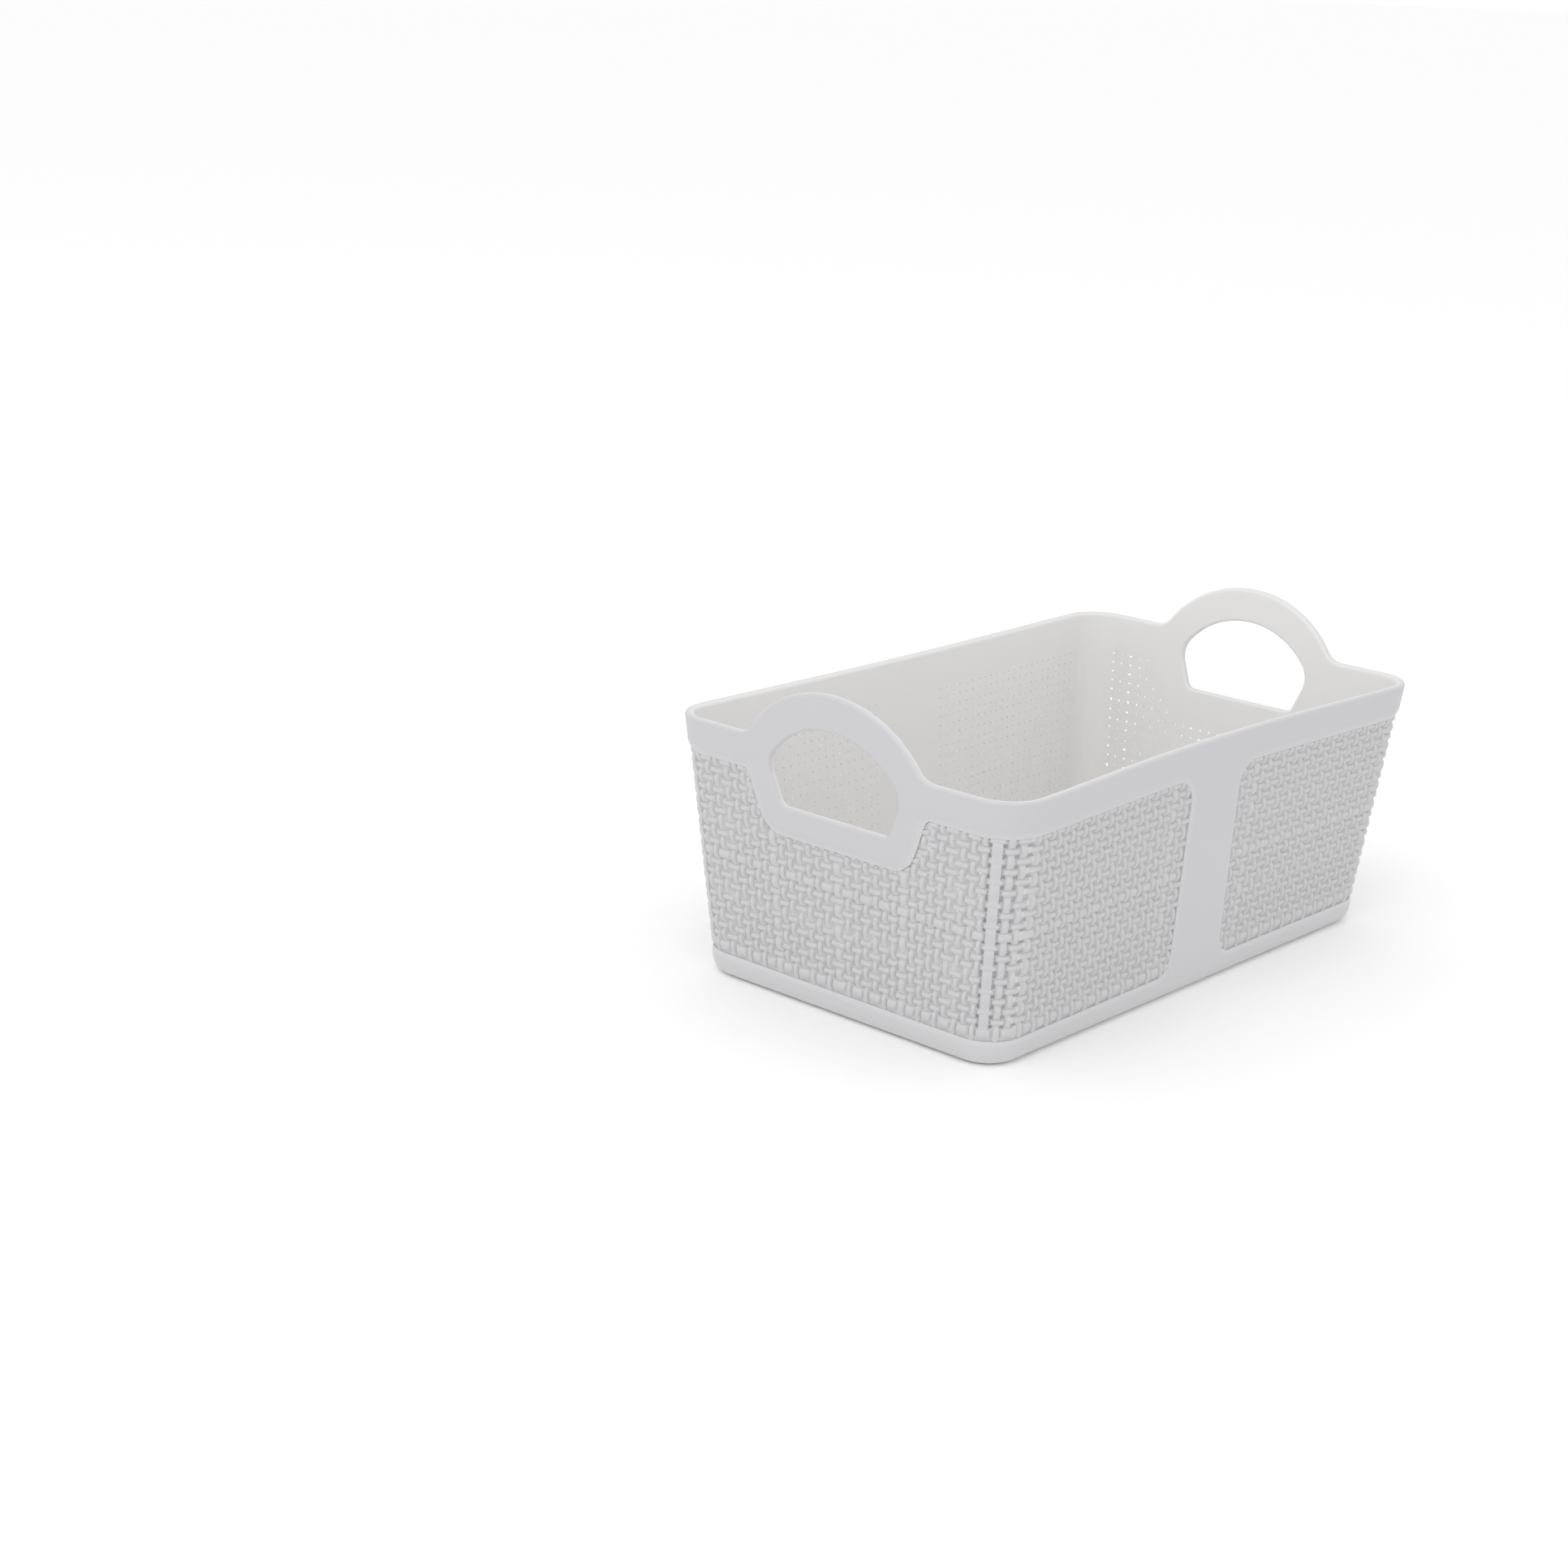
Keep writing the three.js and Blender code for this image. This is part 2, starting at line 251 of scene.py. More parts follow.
ROLL_STEPS = np.array([0, 0.25, 0.55, 0.95, 1.4, 1.9, 2.5, 3.1, 3.5])
RIM_TOP = section_of([
    (BAND_BOTTOM, 0, 0),
    (RIM_HEIGHT, 0, RIM_EDGE),
    (RIM_HEIGHT, PLATE_INNER, RIM_EDGE),
    (BAND_BOTTOM, PLATE_INNER, 0),
])[1:]
CURB_FOOT = section_of([
    (CURB_TOP, INNER, 0),
    (CURB_TOP, CURB_SET_IN, 0),
    (0, CURB_SET_IN, BOTTOM_FILLET),
    (0, FLOOR_SEAM, 0),
    (FLOOR_THICKNESS, FLOOR_SEAM, 0),
    (FLOOR_THICKNESS, INNER, INSIDE_FILLET),
])[2:]


def frame_inset(distance, z):
    """The smooth frame's surface: it rolls inwards towards the edge of the weave, and is less
    deep at the foot of the basket, where it meets the curb."""
    share = np.clip((z - CURB_TOP) / (BAND_BOTTOM - CURB_TOP), 0, 1)
    depth = CURB_ROLL_DEPTH + (BAND_ROLL_DEPTH - CURB_ROLL_DEPTH) * share
    reach = CURB_ROLL_REACH + (BAND_ROLL_REACH - CURB_ROLL_REACH) * share
    return CURB_SET_IN * (1 - share) + depth * (1 - np.clip(distance / reach, 0, 1)) ** ROLL_POWER


def strip_middle_half(z):
    share = np.clip((z - CURB_TOP) / (BAND_BOTTOM - CURB_TOP), 0, 1)
    return STRIP_FOOT_HALF + (STRIP_TOP_HALF - STRIP_FOOT_HALF) * share


def panel_distance(s, z):
    """How far a place on a long side is outside the woven panel, whose corners are round."""
    in_s = np.abs(s) - strip_middle_half(z)
    upper = z > (BAND_BOTTOM + CURB_TOP) / 2
    in_z = np.where(upper, BAND_BOTTOM - z, z - CURB_TOP)
    radius = np.where(upper, PANEL_TOP_RADIUS, PANEL_FOOT_RADIUS)
    in_corner = (in_s < radius) & (in_z < radius)
    return np.where(in_corner, np.hypot(radius - in_s, radius - in_z) - radius, np.maximum(-in_s, -in_z))


def rim_section(distance):
    """The band: rolled lower edge, flat face and rounded top. distance gives that of each height."""
    z = BAND_BOTTOM + ROLL_STEPS
    return [*zip(z, frame_inset(distance(z), z)), *RIM_TOP]


def curb_section(distance):
    z = CURB_TOP - ROLL_STEPS[:-2]
    return [(CURB_TOP, INNER), *zip(z, frame_inset(distance(z), z)), *CURB_FOOT]


def plain_rim(station):
    return rim_section(lambda z: z - BAND_BOTTOM)


def plain_curb(station):
    return curb_section(lambda z: CURB_TOP - z)


def side_rim(station):
    return rim_section(lambda z: panel_distance(station, z))


def side_curb(station):
    return curb_section(lambda z: panel_distance(station, z))


# ---------------------------------------------------------------- the weave's lattice
# Strand places are millimetres along the rim or up the wall, and uneven as they are on the basket
STRAND_HALF, ROD_HALF, THICK_HALF = 1.02, 0.95, 1.55


def strands(centres, half, special):
    """(centre, half width) of each strand. special gives other half widths by their centre."""
    return [(centre, special.get(centre, half)) for centre in centres]


ROWS = strands(
    (77.0, 73.6, 70.2, 66.7, 63.3, 59.7,
     55.5, 52.0, 48.4, 44.7, 41.2, 37.5, 34.2,
     29.6, 26.1, 22.7, 19.0, 15.5, 11.6),
    ROD_HALF, {44.7: 1.5, 11.6: 1.7})
END_COLUMNS = strands(
    (0, 4.7, 8.8, 12.7,
     17.1, 21.2, 25.1, 29.1, 33.2, 36.9, 40.6, 44.3, 48.2,
     52.9, 56.9, 61.2, 65.5, 70.4, 75.1, 81.4, 85.2),
    STRAND_HALF, {0: THICK_HALF, 29.1: THICK_HALF, 65.5: 1.9, 70.4: 1.45, 75.1: 1.35})
SIDE_COLUMNS = strands(
    (16.8, 20.5, 24.4, 28.4, 32.2, 36.0,
     40.3, 43.9, 47.6, 51.3, 54.9, 58.6, 62.2,
     66.3, 70.0, 73.7, 77.3, 80.9, 84.5, 88.1, 91.7, 95.6),
    STRAND_HALF, {24.4: THICK_HALF})

# Panels part at the edge of a strand, where the surface has a crease of its own
END_SEAM = 48.2 + STRAND_HALF
SIDE_SEAM = 95.6 + STRAND_HALF
PLATE_SEAM, PLATE_SEAM_HEIGHT = 29.1 + THICK_HALF, 63.3 - ROD_HALF
# Grid places across a strand, as shares of its half width, and across a gap
STRAND_STEPS = (-1, -0.92, -0.7, -0.38, 0, 0.38, 0.7, 0.92, 1)
GAP_STEPS = (0.18, 0.4, 0.6, 0.82)
# A rod's round nose, how far a strand tucks under the rods, and the gap left at a nose
NOSE, TUCK = 0.9, 0.5
NOSE_LAP, ROD_OVERHANG = -0.4, 2.0
ROD_POWER, STRAND_POWER, RIBBON_POWER = 2.3, 2.2, 5.0
# Half the size of a hole in a usual gap, how much it grows with the gap, and the usual gap
HOLE_HALF, HOLE_GROWTH, USUAL_GAP = 0.24, 0.25, 1.4
CORNER_CLOSED = (62.0, 78.5)
HOLE_CLEARANCE, PANEL_CLEARANCE, BORDER_LAP = 2.5, 1.0, 2.0


def lattice_lines(row, low, high):
    """Grid places across a set of strands, fine at each strand's edges, between two limits."""
    lines = [centre + half * step for centre, half, _ in row for step in STRAND_STEPS]
    for strand, after in zip(row, row[1:]):
        start, end = strand[0] + strand[1], after[0] - after[1]
        lines += [start + (end - start) * step for step in GAP_STEPS]
    lines = [line for line in sorted(lines) if low + 2 * ON_EDGE < line < high - 2 * ON_EDGE]
    return np.array([low, *lines, high])


def rounded(across, power):
    return np.clip(1 - np.abs(across) ** power, 0, None) ** (1 / power)


def relief(rows, columns, z, s):
    """How far the weave stands out over a grid. Each strand surfaces at every other crossing."""
    height = np.zeros((len(z), len(s)))
    for (below, row, above) in zip(rows, rows[1:], rows[2:]):
        for (left, column, right) in zip(columns, columns[1:], columns[2:]):
            over = (row[2] + column[2]) % 2 == 0
            if over:
                reach = column[1] + ROD_OVERHANG
                low = max(left[0] + left[1] - NOSE_LAP, column[0] - reach)
                high = min(right[0] - right[1] + NOSE_LAP, column[0] + reach)
                pad = (row[0] - row[1], row[0] + row[1], low, high)
            else:
                low, high = below[0] + below[1], above[0] - above[1]
                pad = (low - TUCK, high + TUCK, column[0] - column[1], column[0] + column[1])
            zs = slice(np.searchsorted(z, pad[0] - 1e-6), np.searchsorted(z, pad[1] + 1e-6))
            ss = slice(np.searchsorted(s, pad[2] - 1e-6), np.searchsorted(s, pad[3] + 1e-6))
            up, across = z[zs, None], s[None, ss]
            if over:
                out = rod(up - row[0], row[1], across - (low + high) / 2, (high - low) / 2)
            else:
                out = strand(across - column[0], column[1], up - (low + high) / 2, (high - low) / 2)
            height[zs, ss] = np.maximum(height[zs, ss], out)
    return height * (WEAVE_BASE - WEAVE_CREST)


def rod(across, half_width, along, half_length):
    """A level rod with round ends, highest in its middle."""
    nose = np.clip((np.abs(along) - half_length + NOSE) / NOSE, 0, 1)
    section = np.abs(across / half_width) ** ROD_POWER
    crown = 1 - ROD_DIP * (along / half_length) ** 2
    return crown * np.clip(1 - nose ** 2 - section, 0, None) ** (1 / ROD_POWER)


def strand(across, half_width, along, half_length):
    """An upright strand that arches out between two rods and tucks in under them."""
    flat = half_width > FLAT_FROM
    share = (along / half_length) ** 2
    crown = 1 - (RIBBON_DIP if flat else STRAND_DIP) * share
    taper = 1 - (0 if flat else STRAND_TAPER) * share
    return crown * rounded(across / half_width / taper, RIBBON_POWER if flat else STRAND_POWER)


def numbered(row, first, step=1):
    """Adds each strand's number, whose parity says where it surfaces."""
    return [(centre, half, first + step * index) for index, (centre, half) in enumerate(row)]


def mirrored(columns):
    """Columns on the other side of zero, in order."""
    return [(-centre, half, number) for centre, half, number in reversed(columns)]


def gaps(row, low, high):
    """(start, end) of each gap between strands that lies wholly between two limits."""
    pairs = [(a[0] + a[1], b[0] - b[1]) for a, b in zip(row, row[1:])]
    return [(start, end) for start, end in pairs if start > low - ON_EDGE and end < high + ON_EDGE]


def weave_block(columns, place, low, high, open_at, bottom=CURB_TOP, top=WEAVE_TOP, blind=False,
                covered=None):
    """Points and faces of a woven stretch of wall between two places and two heights: pads of
    strand outside, a plain wall inside, and holes between. A blind stretch has deep gaps where
    it has no holes. covered says where a smooth piece lies over the strands, so they stay low."""
    z, s = lattice_lines(ROW_STRANDS, bottom, top), lattice_lines(columns, low, high)
    inset = WEAVE_BASE - relief(ROW_STRANDS, columns, z, s)
    if covered:
        inset[covered(s[None, :], z[:, None])] = WEAVE_BASE
    row_gaps, column_gaps = gaps(ROW_STRANDS, bottom, top), gaps(columns, low, high)
    # Deeper points get more painted light, a paler tint standing in for light through the wall. Blind
    # gaps below get none
    depth = (inset - WEAVE_CREST) / (WEAVE_BASE - WEAVE_CREST)
    for start_z, end_z in row_gaps if blind else []:
        for start_s, end_s in column_gaps:
            if open_at((start_s + end_s) / 2, (start_z + end_z) / 2):
                continue
            inside = np.ix_((z > start_z + ON_EDGE) & (z < end_z - ON_EDGE),
                            (s > start_s + ON_EDGE) & (s < end_s - ON_EDGE))
            if inset[inside].size and inset[inside].min() > WEAVE_BASE - ON_EDGE:
                inset[inside], depth[inside] = BLIND_INSET, 0
    outer = place(s[None, :], z[:, None], inset).reshape(-1, 3)
    inner_z, inner_s = inner_lines(row_gaps, bottom, top), inner_lines(column_gaps, low, high)
    inner = place(inner_s[None, :], inner_z[:, None], INNER).reshape(-1, 3)
    width, inner_width, first = len(s), len(inner_s), len(outer)

    outer_open = np.ones((len(z) - 1, width - 1), bool)
    inner_open = np.ones((len(inner_z) - 1, inner_width - 1), bool)
    faces = []
    for row, row_gap in enumerate(row_gaps):
        for column, column_gap in enumerate(column_gaps):
            if not open_at(sum(column_gap) / 2, sum(row_gap) / 2):
                continue
            low_z, high_z = (int(np.argmin(np.abs(z - edge))) for edge in row_gap)
            left, right = (int(np.argmin(np.abs(s - edge))) for edge in column_gap)
            outer_open[low_z:high_z, left:right] = False
            inner_open[2 * row + 1, 2 * column + 1] = False
            near = first + (2 * row + 1) * inner_width + 2 * column + 1
            far = near + inner_width
            faces += [
                [*(low_z * width + i for i in range(right, left - 1, -1)), near, near + 1],
                [*(high_z * width + i for i in range(left, right + 1)), far + 1, far],
                [*(i * width + left for i in range(low_z, high_z + 1)), far, near],
                [*(i * width + right for i in range(high_z, low_z - 1, -1)), near + 1, far + 1],
            ]
    faces += np.array(grid_faces(len(z), width))[outer_open.ravel()].tolist()
    faces += np.array(grid_faces(len(inner_z), inner_width, first=first))[inner_open.ravel()].tolist()
    last, inner_last, end = first - width, first + len(inner) - inner_width, first + len(inner)
    faces += [
        [*range(width - 1, -1, -1), *range(first, first + inner_width)],
        [*range(last, first), *range(end - 1, inner_last - 1, -1)],
        [*range(0, first, width), *range(inner_last, first - 1, -inner_width)],
        [*range(first - 1, 0, -width), *range(first + inner_width - 1, end, inner_width)],
    ]
    # The inner face gets the inside's painted light, a paler tint
    depth = np.append(depth.ravel(), np.full(len(inner), INSIDE_PAINTED_LIGHT))
    return np.concatenate([outer, inner]), depth, faces


def inner_lines(spans, low, high):
    """The edges of the small holes in the wall's inner face, between its two ends."""
    lines = [low]
    for start, end in spans:
        half = HOLE_HALF + HOLE_GROWTH * (end - start - USUAL_GAP)
        lines += [(start + end) / 2 - half, (start + end) / 2 + half]
    return np.array([*lines, high])


def weave_piece(name, blocks, material):
    points, depth, faces = [], [], []
    for block_points, block_depth, block_faces in blocks:
        first = sum(map(len, points))
        points.append(block_points)
        depth.append(block_depth)
        faces += [[first + index for index in face] for face in block_faces]
    return add_piece(name, np.concatenate(points), np.concatenate(depth), faces, material)


# Strand numbers run on around the basket, so that the pattern keeps its step at the corners
ROW_STRANDS = [(6.9, 1.0, 1), *reversed(numbered(ROWS, 0)), (80.5, 1.0, 1)]
QUARTER = numbered(END_COLUMNS, 0)
SIDE_STRANDS = [(STRIP_CORE - 1.0, 1.0, 0),
                *numbered(SIDE_COLUMNS, len(END_COLUMNS) + len(SIDE_COLUMNS) - 1, -1)]
ROUND_CORNER = [*QUARTER[-10:], *((WHOLE_RUN - centre, half, number)
                                 for centre, half, number in SIDE_STRANDS[:-5:-1])]
SIDE_STRANDS = [*SIDE_STRANDS, *((WHOLE_RUN - centre, half, number)
                                 for centre, half, number in QUARTER[:-4:-1])]
END_STRANDS = [*mirrored(QUARTER[1:15]), *QUARTER[:15]]


# ---------------------------------------------------------------- handle outlines, as (y, z)
def chain(*stretches):
    """Joins arcs of points and directions into one line."""
    points = np.concatenate([stretch[0] for stretch in stretches])
    inwards = np.concatenate([stretch[1] for stretch in stretches])
    keep = np.append(True, np.linalg.norm(np.diff(points, axis=0), axis=1) > SAME_PLACE)
    return points[keep], inwards[keep]


def both_sides(points, inwards):
    """Adds the mirror image of a line that starts at +y and ends on the middle line."""
    flip = np.array([-1.0, 1.0])
    return chain((points, inwards), (points[::-1] * flip, inwards[::-1] * flip))


def arch_line():
    fillet_z = RIM_HEIGHT + ARCH_FILLET
    fillet_y = math.sqrt((ARCH_RADIUS + ARCH_FILLET) ** 2 - (fillet_z - ARCH_Z) ** 2)
    meet = math.degrees(math.atan2(fillet_z - ARCH_Z, fillet_y))
    start = (np.array([[HANDLE_HALF, RIM_HEIGHT]]), np.array([[0.0, -1.0]]))
    fillet = arc((fillet_y, fillet_z), ARCH_FILLET, -90, meet - 180)
    points, outwards = arc((0, ARCH_Z), ARCH_RADIUS, meet, 90, 2.5)
    return both_sides(*chain(start, fillet, (points, -outwards)))


def border_line():
    """The smooth border's lower edge: band, concave fillet, leaning side, round corner and flat."""
    centre = np.array([BORDER_FLAT, BORDER_BOTTOM + BORDER_RADIUS])
    notch = np.array([BORDER_SHOULDER, BAND_BOTTOM])
    reach = notch - centre
    touch = math.atan2(reach[1], reach[0]) - math.acos(BORDER_RADIUS / np.linalg.norm(reach))
    side = np.array([math.cos(touch), math.sin(touch)])
    fillet_z = BAND_BOTTOM - NOTCH_FILLET
    fillet_y = (notch @ side + NOTCH_FILLET - fillet_z * side[1]) / side[0]
    start = (np.array([[HANDLE_HALF, BAND_BOTTOM]]), np.array([[0.0, 1.0]]))
    fillet = arc((fillet_y, fillet_z), NOTCH_FILLET, 90, 180 + math.degrees(touch), 8)
    points, outwards = arc(centre, BORDER_RADIUS, math.degrees(touch), -90)
    end = (np.array([[0.0, BORDER_BOTTOM]]), np.array([[0.0, 1.0]]))
    return both_sides(*chain(start, fillet, (points, -outwards), end))


def opening_line():
    """The finger opening: a large top arc, a shoulder arc each side and a small arc at each foot."""
    shoulder_y = math.sqrt((OPENING_RADIUS - SHOULDER_RADIUS) ** 2 - (SHOULDER_Z - OPENING_Z) ** 2)
    meet = math.degrees(math.atan2(SHOULDER_Z - OPENING_Z, shoulder_y))
    foot = np.array([FOOT_Y, OPENING_BOTTOM + FOOT_RADIUS])
    run = foot - (shoulder_y, SHOULDER_Z)
    lean = math.acos((SHOULDER_RADIUS - FOOT_RADIUS) / np.linalg.norm(run))
    touch = math.degrees(math.atan2(run[1], run[0]) + lean)
    start = (np.array([[0.0, OPENING_BOTTOM]]), np.array([[0.0, -1.0]]))
    right = chain(start, arc(foot, FOOT_RADIUS, -90, touch, 8),
                  arc((shoulder_y, SHOULDER_Z), SHOULDER_RADIUS, touch, meet),
                  arc((0, OPENING_Z), OPENING_RADIUS, meet, 90))
    points, inwards = both_sides(*right)
    return points[:-1], inwards[:-1]


def rounded_edges(radius, thickness, steps=5):
    """(offset into the plate, inset) from the outer face round the edge to the inner face."""
    turn = np.linspace(0, math.pi / 2, steps + 1)
    first = np.stack([radius * (1 - np.sin(turn)), radius * (1 - np.cos(turn))], -1)
    second = first[::-1] * (1, -1) + (0, thickness)
    return [(radius + SUPPORT, 0), *map(tuple, first), *map(tuple, second), (radius + SUPPORT, thickness)]


def rolled_edge(thickness):
    """The band's lower edge carried on round the handle's border, ending at the inner face."""
    face = [(offset, frame_inset(offset, RIM_HEIGHT)) for offset in ROLL_STEPS[::-1]]
    return [*face, (0, thickness)]


def end_hole_open(s, z):
    """Holes go through except beside the smooth border, where the plate behind closes them."""
    if z > BORDER_BOTTOM + BORDER_RADIUS - BORDER_LAP:
        return abs(s) > HANDLE_HALF
    distance = math.hypot(max(0.0, abs(s) - BORDER_FLAT), z - BORDER_BOTTOM - BORDER_RADIUS)
    return distance > BORDER_RADIUS + HOLE_CLEARANCE


def under_border(s, z):
    """Where the handle's smooth border lies over the weave."""
    line = np.array([point for point in border_line()[0] if point[0] >= 0])
    line = line[np.argsort(line[:, 1])]
    edge = np.interp(z, line[:, 1], line[:, 0])
    return (np.abs(s) < edge) & (z > BORDER_BOTTOM)


def handle_piece(name, end, material):
    arch, border, opening = arch_line(), border_line(), opening_line()
    place = end_wall(end)
    points, depth, faces, outer_loops, inner_loops, sides = [], [], [], [], [], []
    profiles = ((arch, rounded_edges(RIM_EDGE, PLATE_INNER)), (border, rolled_edge(PLATE_INNER)),
                (opening, rounded_edges(OPENING_EDGE, PLATE_INNER)))
    for (line, inwards), profile in profiles:
        closed = line is opening[0]
        first = len(points)
        for offset, inset in profile:
            ring = line + offset * inwards
            points += place(ring[:, 0], ring[:, 1], inset).tolist()
            # Deeper points get more painted light, a paler tint, up to the inside's amount on the inner
            # face
            depth += [inset / INNER * INSIDE_PAINTED_LIGHT] * len(ring)
        faces += grid_faces(len(profile), len(line), closed, first)
        last = len(points) - len(line)
        outer_loops.append(list(range(first, first + len(line))))
        inner_loops.append(list(range(last, last + len(line))))
        sides.append((first, last, len(line)))
    flat = [Vector((y, z, 0)) for x, y, z in points]
    for loops in (outer_loops, inner_loops):
        outline, hole = [*loops[0], *loops[1][::-1]], loops[2]
        order = [*outline, *hole]
        triangles = tessellate_polygon([[flat[i] for i in outline], [flat[i] for i in hole]])
        faces += [[order[i] for i in triangle] for triangle in triangles]
    (arch_first, arch_last, arch_count), (border_first, border_last, border_count) = sides[:2]
    for shift_arch, shift_border in ((0, 0), (arch_count - 1, border_count - 1)):
        faces.append([*range(arch_first + shift_arch, arch_last + arch_count, arch_count),
                      *range(border_last + shift_border, border_first - 1, -border_count)])
    return add_piece(name, points, depth, faces, material)


# ---------------------------------------------------------------- strips and floor
def strip_half(z):
    """Half the width of the smooth strip: the woven panels beside it have rounded corners."""
    half = strip_middle_half(z)
    for radius, distance in ((PANEL_TOP_RADIUS, BAND_BOTTOM - z), (PANEL_FOOT_RADIUS, z - CURB_TOP)):
        if distance < radius:
            return half + radius - math.sqrt(radius ** 2 - (radius - distance) ** 2)
    return half


def corner_hole_open(s, z):
    """The round of the corner has no holes."""
    return not CORNER_CLOSED[0] < s < CORNER_CLOSED[1]


def side_hole_open(s, z):
    return panel_distance(s, z) < -PANEL_CLEARANCE


def strip_piece(name, side, material):
    """The smooth strip in the middle of a long side. It laps over the edges of the woven panels."""
    place = side_wall(side)
    turn = np.linspace(0, math.pi / 2, 15)
    tops = BAND_BOTTOM - PANEL_TOP_RADIUS * (1 - np.cos(turn))
    feet = CURB_TOP + PANEL_FOOT_RADIUS * (1 - np.cos(turn))
    heights = [*feet, *np.linspace(feet[-1], tops[-1], 14)[1:-1], *tops[::-1]]
    across = np.sin(np.linspace(math.pi / 2, -math.pi / 2, 45))
    core = np.linspace(-STRIP_CORE, STRIP_CORE, 9)
    points, depth = [], []
    for z in heights:
        half = strip_half(z)
        face = [(s, frame_inset(panel_distance(s, z), z)) for s in half * across]
        back = [(s, INNER) for s in core]
        loop = np.array([*face, (-half, STRIP_DEPTH), (-STRIP_CORE, STRIP_DEPTH), *back,
                         (STRIP_CORE, STRIP_DEPTH), (half, STRIP_DEPTH)])
        points += place(loop[:, 0], z, loop[:, 1]).tolist()
        # Deeper points get more painted light, a paler tint, up to the inside's amount on the back
        depth += (loop[:, 1] / INNER * INSIDE_PAINTED_LIGHT).tolist()
    faces = grid_faces(len(heights), len(loop), closed=True)
    faces.append(list(range(len(loop))))
    faces.append(list(range(len(points) - len(loop), len(points))))
    return add_piece(name, points, depth, faces, material)


def floor_piece(material):
    """The flat floor inside the curb. It is one outline at two heights."""
    outline = []
    for end, side in ((1, 1), (-1, 1), (-1, -1), (1, -1)):
        stations = np.concatenate([CORNER_STATIONS, SIDE_STATIONS])
        if end * side < 0:
            stations = stations[::-1]
        outline += [(end, side, station) for station in stations]
    signs = np.array(outline)
    loops = [wall(signs[:, 0], signs[:, 1], signs[:, 2], z, FLOOR_SEAM) for z in (0.0, FLOOR_THICKNESS)]
    keep = [index for index in range(len(signs))
            if np.linalg.norm(loops[0][index] - loops[0][index - 1]) > SAME_PLACE]
    loops = [loop[keep] for loop in loops]
    count = len(keep)
    faces = grid_faces(2, count, closed=True)
    faces += [list(range(count)), list(range(count, 2 * count))]
    # The floor's top gets the inside's painted light, a paler tint. Its underside gets none
    depth = np.repeat((0.0, INSIDE_PAINTED_LIGHT), count)
    return add_piece("floor_panel", np.concatenate(loops), depth, faces, material)


# ---------------------------------------------------------------- materials
def plain(name, colour, roughness):
    material = bpy.data.materials.new(name)
    material.use_nodes = True
    shader = material.node_tree.nodes["Principled BSDF"]
    shader.inputs["Base Color"].default_value = (*colour, 1)
    shader.inputs["Roughness"].default_value = roughness
    shader.inputs["Specular IOR Level"].default_value = 0.3
    return material


def plastic(name, stretch, bump):
    """Milky white plastic. Gaps and the inside are painted paler, which stands in for the light that
    passes through the thin wall. Its grain is drawn out upwards by stretch."""
    material = plain(name, FACE_COLOUR, ROUGHNESS)
    nodes, links = material.node_tree.nodes, material.node_tree.links
    shader = nodes["Principled BSDF"]

    # Painted light: the base colour grows paler with the depth attribute, and past the second colour on
    # the inside, standing in for light passing through the thin wall
    depth = nodes.new("ShaderNodeAttribute")
    depth.attribute_name = "depth"
    painted_light = nodes.new("ShaderNodeMix")
    painted_light.data_type = "RGBA"
    painted_light.clamp_factor = False
    painted_light.inputs["A"].default_value = (*FACE_COLOUR, 1)
    painted_light.inputs["B"].default_value = (*PAINTED_LIGHT_COLOUR, 1)
    links.new(depth.outputs["Fac"], painted_light.inputs["Factor"])
    links.new(painted_light.outputs["Result"], shader.inputs["Base Color"])

    place = nodes.new("ShaderNodeTexCoord")
    scale = nodes.new("ShaderNodeMapping")
    scale.inputs["Scale"].default_value = (1, 1, 1 / stretch)
    grain = nodes.new("ShaderNodeTexNoise")
    grain.inputs["Scale"].default_value = GRAIN_SCALE
    grain.inputs["Detail"].default_value = 3
    links.new(place.outputs["Object"], scale.inputs["Vector"])
    links.new(scale.outputs["Vector"], grain.inputs["Vector"])

    sheen = nodes.new("ShaderNodeMapRange")
    sheen.inputs["To Min"].default_value = ROUGHNESS - ROUGHNESS_SPREAD
    sheen.inputs["To Max"].default_value = ROUGHNESS + ROUGHNESS_SPREAD
    links.new(grain.outputs["Fac"], sheen.inputs["Value"])
    links.new(sheen.outputs["Result"], shader.inputs["Roughness"])

    bumps = nodes.new("ShaderNodeBump")
    bumps.inputs["Strength"].default_value = bump
    bumps.inputs["Distance"].default_value = GRAIN_DEPTH
    links.new(grain.outputs["Fac"], bumps.inputs["Height"])
    links.new(bumps.outputs["Normal"], shader.inputs["Normal"])
    return material


smooth_plastic = plastic("smooth plastic", SMOOTH_STRETCH, SMOOTH_BUMP)
woven_plastic = plastic("woven plastic", WOVEN_STRETCH, WOVEN_BUMP)

# ---------------------------------------------------------------- the basket
# Bars on the long sides are finer this far from the middle, where the panels' corners are
FINE_REACH = 27
CORNER_ARC = np.linspace(END_RUN, END_RUN + ARC_RUN, 25)
CORNER_STATIONS = np.concatenate([[END_RUN - 2], CORNER_ARC])
SIDE_STATIONS = WHOLE_RUN - np.linspace(SIDE_SEAM, 0, 24)


def corner_stations(start):
    return np.concatenate([[start], CORNER_ARC, [END_RUN + ARC_RUN + 3, WHOLE_RUN - SIDE_SEAM]])


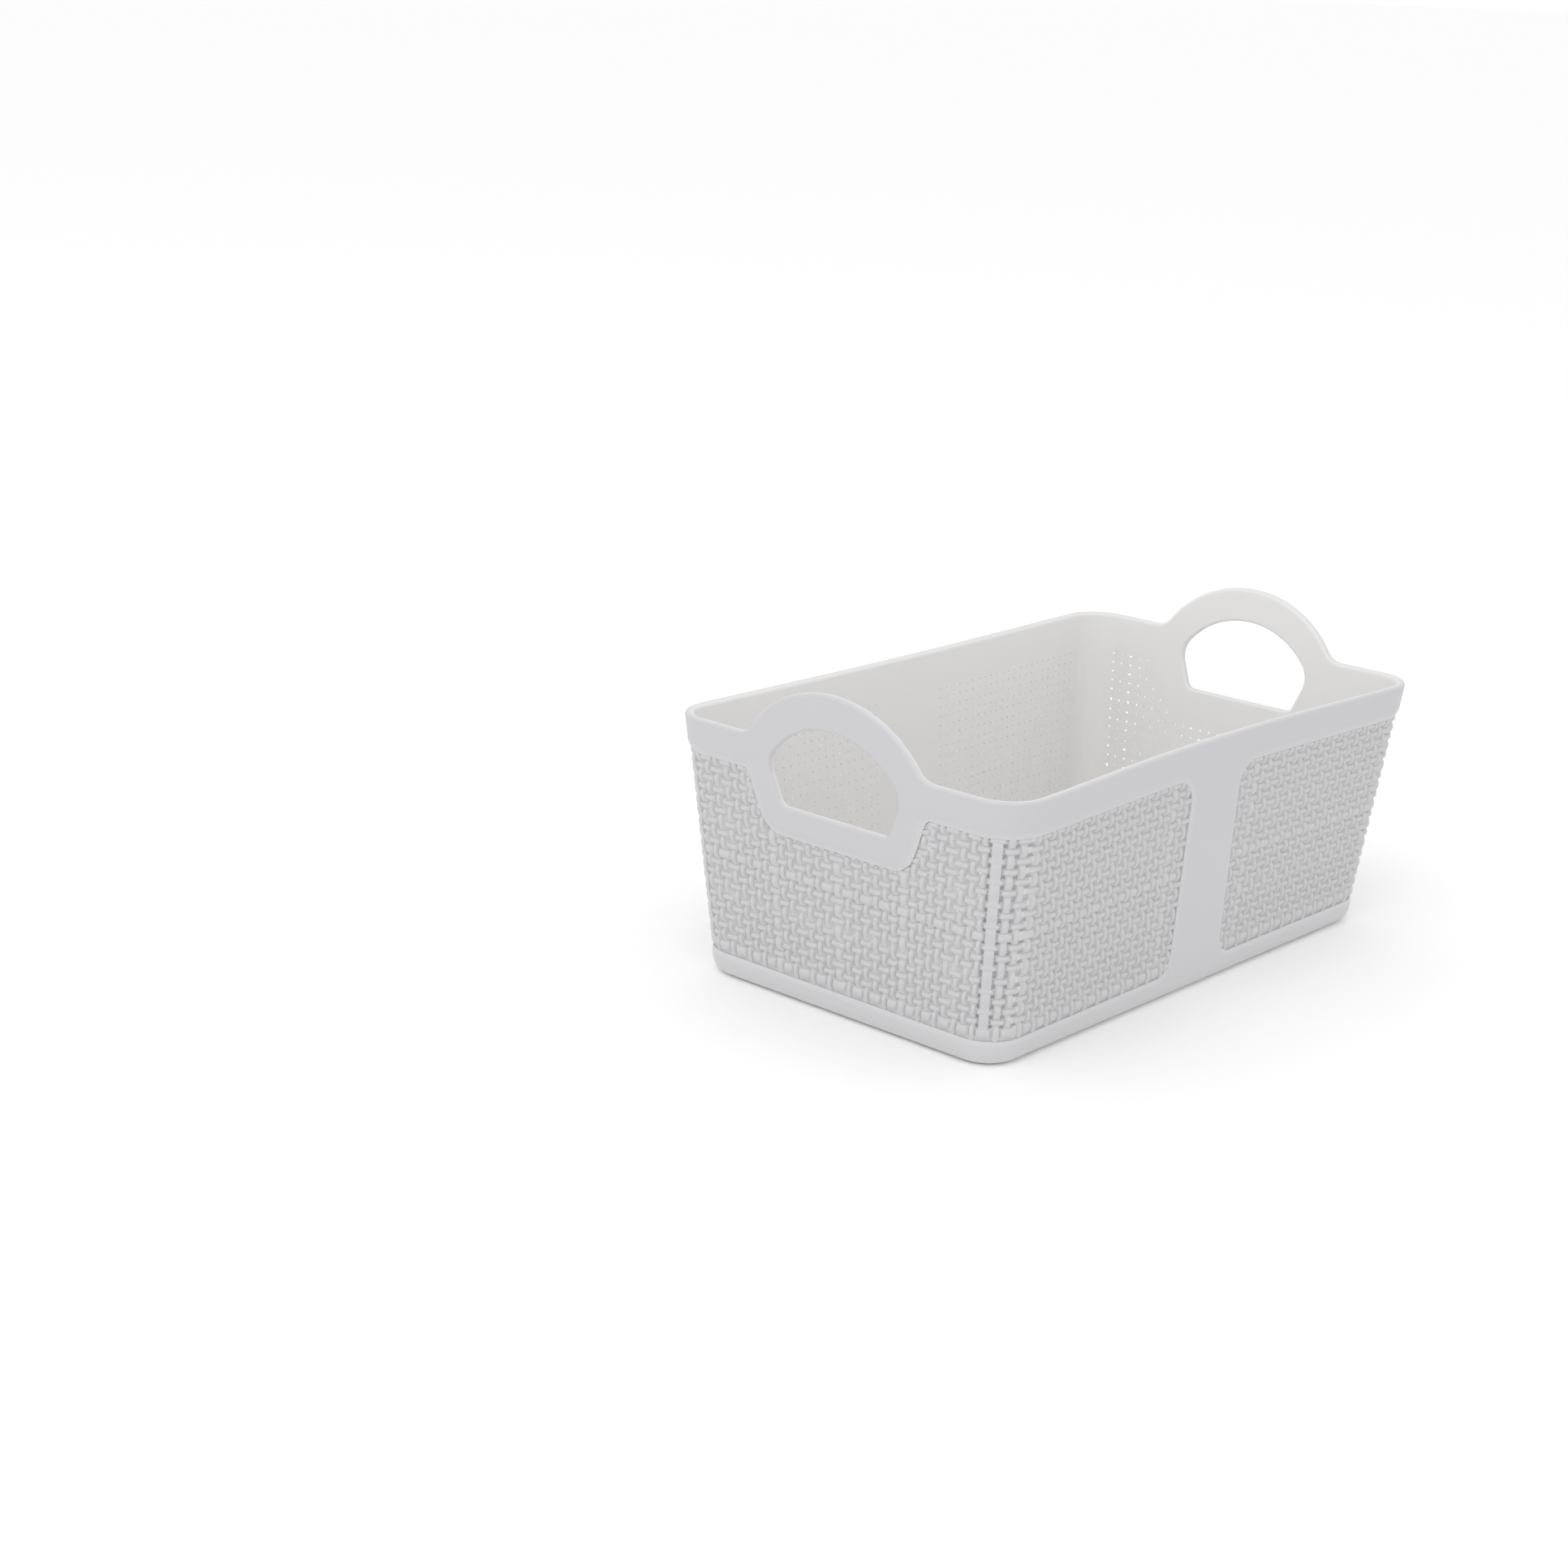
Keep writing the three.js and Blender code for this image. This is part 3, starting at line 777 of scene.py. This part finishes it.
for end, sign in (("left", -1.0), ("right", 1.0)):
    place = end_wall(sign)
    handle_piece(f"handle_{end}", sign, smooth_plastic)
    stretches = ((-END_SEAM, -PLATE_SEAM, WEAVE_TOP), (-PLATE_SEAM, PLATE_SEAM, PLATE_SEAM_HEIGHT),
                 (PLATE_SEAM, END_SEAM, WEAVE_TOP))
    weave_piece(f"woven_{end}",
                [weave_block(END_STRANDS, place, low, high, end_hole_open, top=top,
                             covered=under_border) for low, high, top in stretches],
                woven_plastic)
    swept_piece(f"curb_{end}", plain_curb, place, (-END_SEAM, 0, END_SEAM), smooth_plastic)

for face, side in (("front", -1.0), ("back", 1.0)):
    place = side_wall(side)
    strip_piece(f"centre_strip_{face}", side, smooth_plastic)
    near_strip = np.linspace(0, FINE_REACH, 37)
    stations = np.concatenate([near_strip, np.linspace(FINE_REACH, SIDE_SEAM, 25)[1:]])
    stations = np.concatenate([-stations[:0:-1], stations])
    for bar, section in (("curb", side_curb), ("rim", side_rim)):
        swept_piece(f"{bar}_{face}", section, place, stations, smooth_plastic)
    for end, sign in (("left", -1.0), ("right", 1.0)):
        strands_here = SIDE_STRANDS if sign > 0 else mirrored(SIDE_STRANDS)
        low, high = sorted((sign * STRIP_CORE, sign * SIDE_SEAM))
        weave_piece(f"woven_{face}_{end}",
                    [weave_block(strands_here, place, low, high, side_hole_open)], woven_plastic)
        turn = corner_wall(sign, side)
        weave_piece(f"woven_corner_{face}_{end}",
                    [weave_block(ROUND_CORNER, turn, END_SEAM, WHOLE_RUN - SIDE_SEAM, corner_hole_open,
                                 blind=True)],
                    woven_plastic)
        for bar, section, start in (("curb", plain_curb, END_SEAM), ("rim", plain_rim, HANDLE_HALF)):
            swept_piece(f"{bar}_corner_{face}_{end}", section, turn, corner_stations(start),
                        smooth_plastic)

floor_piece(smooth_plastic)

# ---------------------------------------------------------------- stage, light and camera
STAGE_CORNERS = ((-STAGE_HALF, -STAGE_HALF), (STAGE_HALF, -STAGE_HALF),
                 (STAGE_HALF, STAGE_HALF), (-STAGE_HALF, STAGE_HALF))
floor_mesh = bpy.data.meshes.new("stage")
floor_mesh.from_pydata([(x, y, 0) for x, y in STAGE_CORNERS], [], [(0, 1, 2, 3)])
stage = bpy.data.objects.new("stage", floor_mesh)
bpy.context.scene.collection.objects.link(stage)
floor_mesh.materials.append(plain("stage", STAGE_COLOUR, 0.9))

world = bpy.data.worlds.new("studio")
bpy.context.scene.world = world
world.use_nodes = True
world.node_tree.nodes["Background"].inputs["Color"].default_value = (1, 1, 1, 1)
world.node_tree.nodes["Background"].inputs["Strength"].default_value = 1.0


def soft_light(name, place, aim, size, power):
    lamp = bpy.data.lights.new(name, "AREA")
    lamp.size = size
    lamp.energy = power
    light = bpy.data.objects.new(name, lamp)
    light.location = place
    light.rotation_euler = (Vector(aim) - Vector(place)).to_track_quat("-Z", "Y").to_euler()
    bpy.context.scene.collection.objects.link(light)


soft_light("key", KEY_PLACE, KEY_AIM, KEY_SIZE, KEY_POWER)

# The camera stands to the front left, a little above the rim, and is rolled slightly
SENSOR = 36.0
LENS = 62.52
CAMERA_PLACE = (-0.7379, -0.5287, 0.3249)
CAMERA_YAW, CAMERA_PITCH, CAMERA_ROLL = -48.4992, 16.7008, 2.3153


def camera_axes():
    yaw, pitch, roll = (math.radians(angle) for angle in (CAMERA_YAW, CAMERA_PITCH, CAMERA_ROLL))
    back = Vector((math.sin(yaw) * math.cos(pitch), -math.cos(yaw) * math.cos(pitch), math.sin(pitch)))
    right = Vector((math.cos(yaw), math.sin(yaw), 0))
    up = back.cross(right)
    return (right * math.cos(roll) + up * math.sin(roll),
            up * math.cos(roll) - right * math.sin(roll), back)


lens = bpy.data.cameras.new("camera")
lens.sensor_width = SENSOR
lens.lens = LENS
camera = bpy.data.objects.new("camera", lens)
right, up, back = camera_axes()
camera.matrix_world = (Matrix.Translation(CAMERA_PLACE)
                       @ Matrix((right, up, back)).transposed().to_4x4())
bpy.context.scene.collection.objects.link(camera)
bpy.context.scene.camera = camera
bpy.context.scene.view_settings.view_transform = "Standard"

bpy.context.view_layer.update()
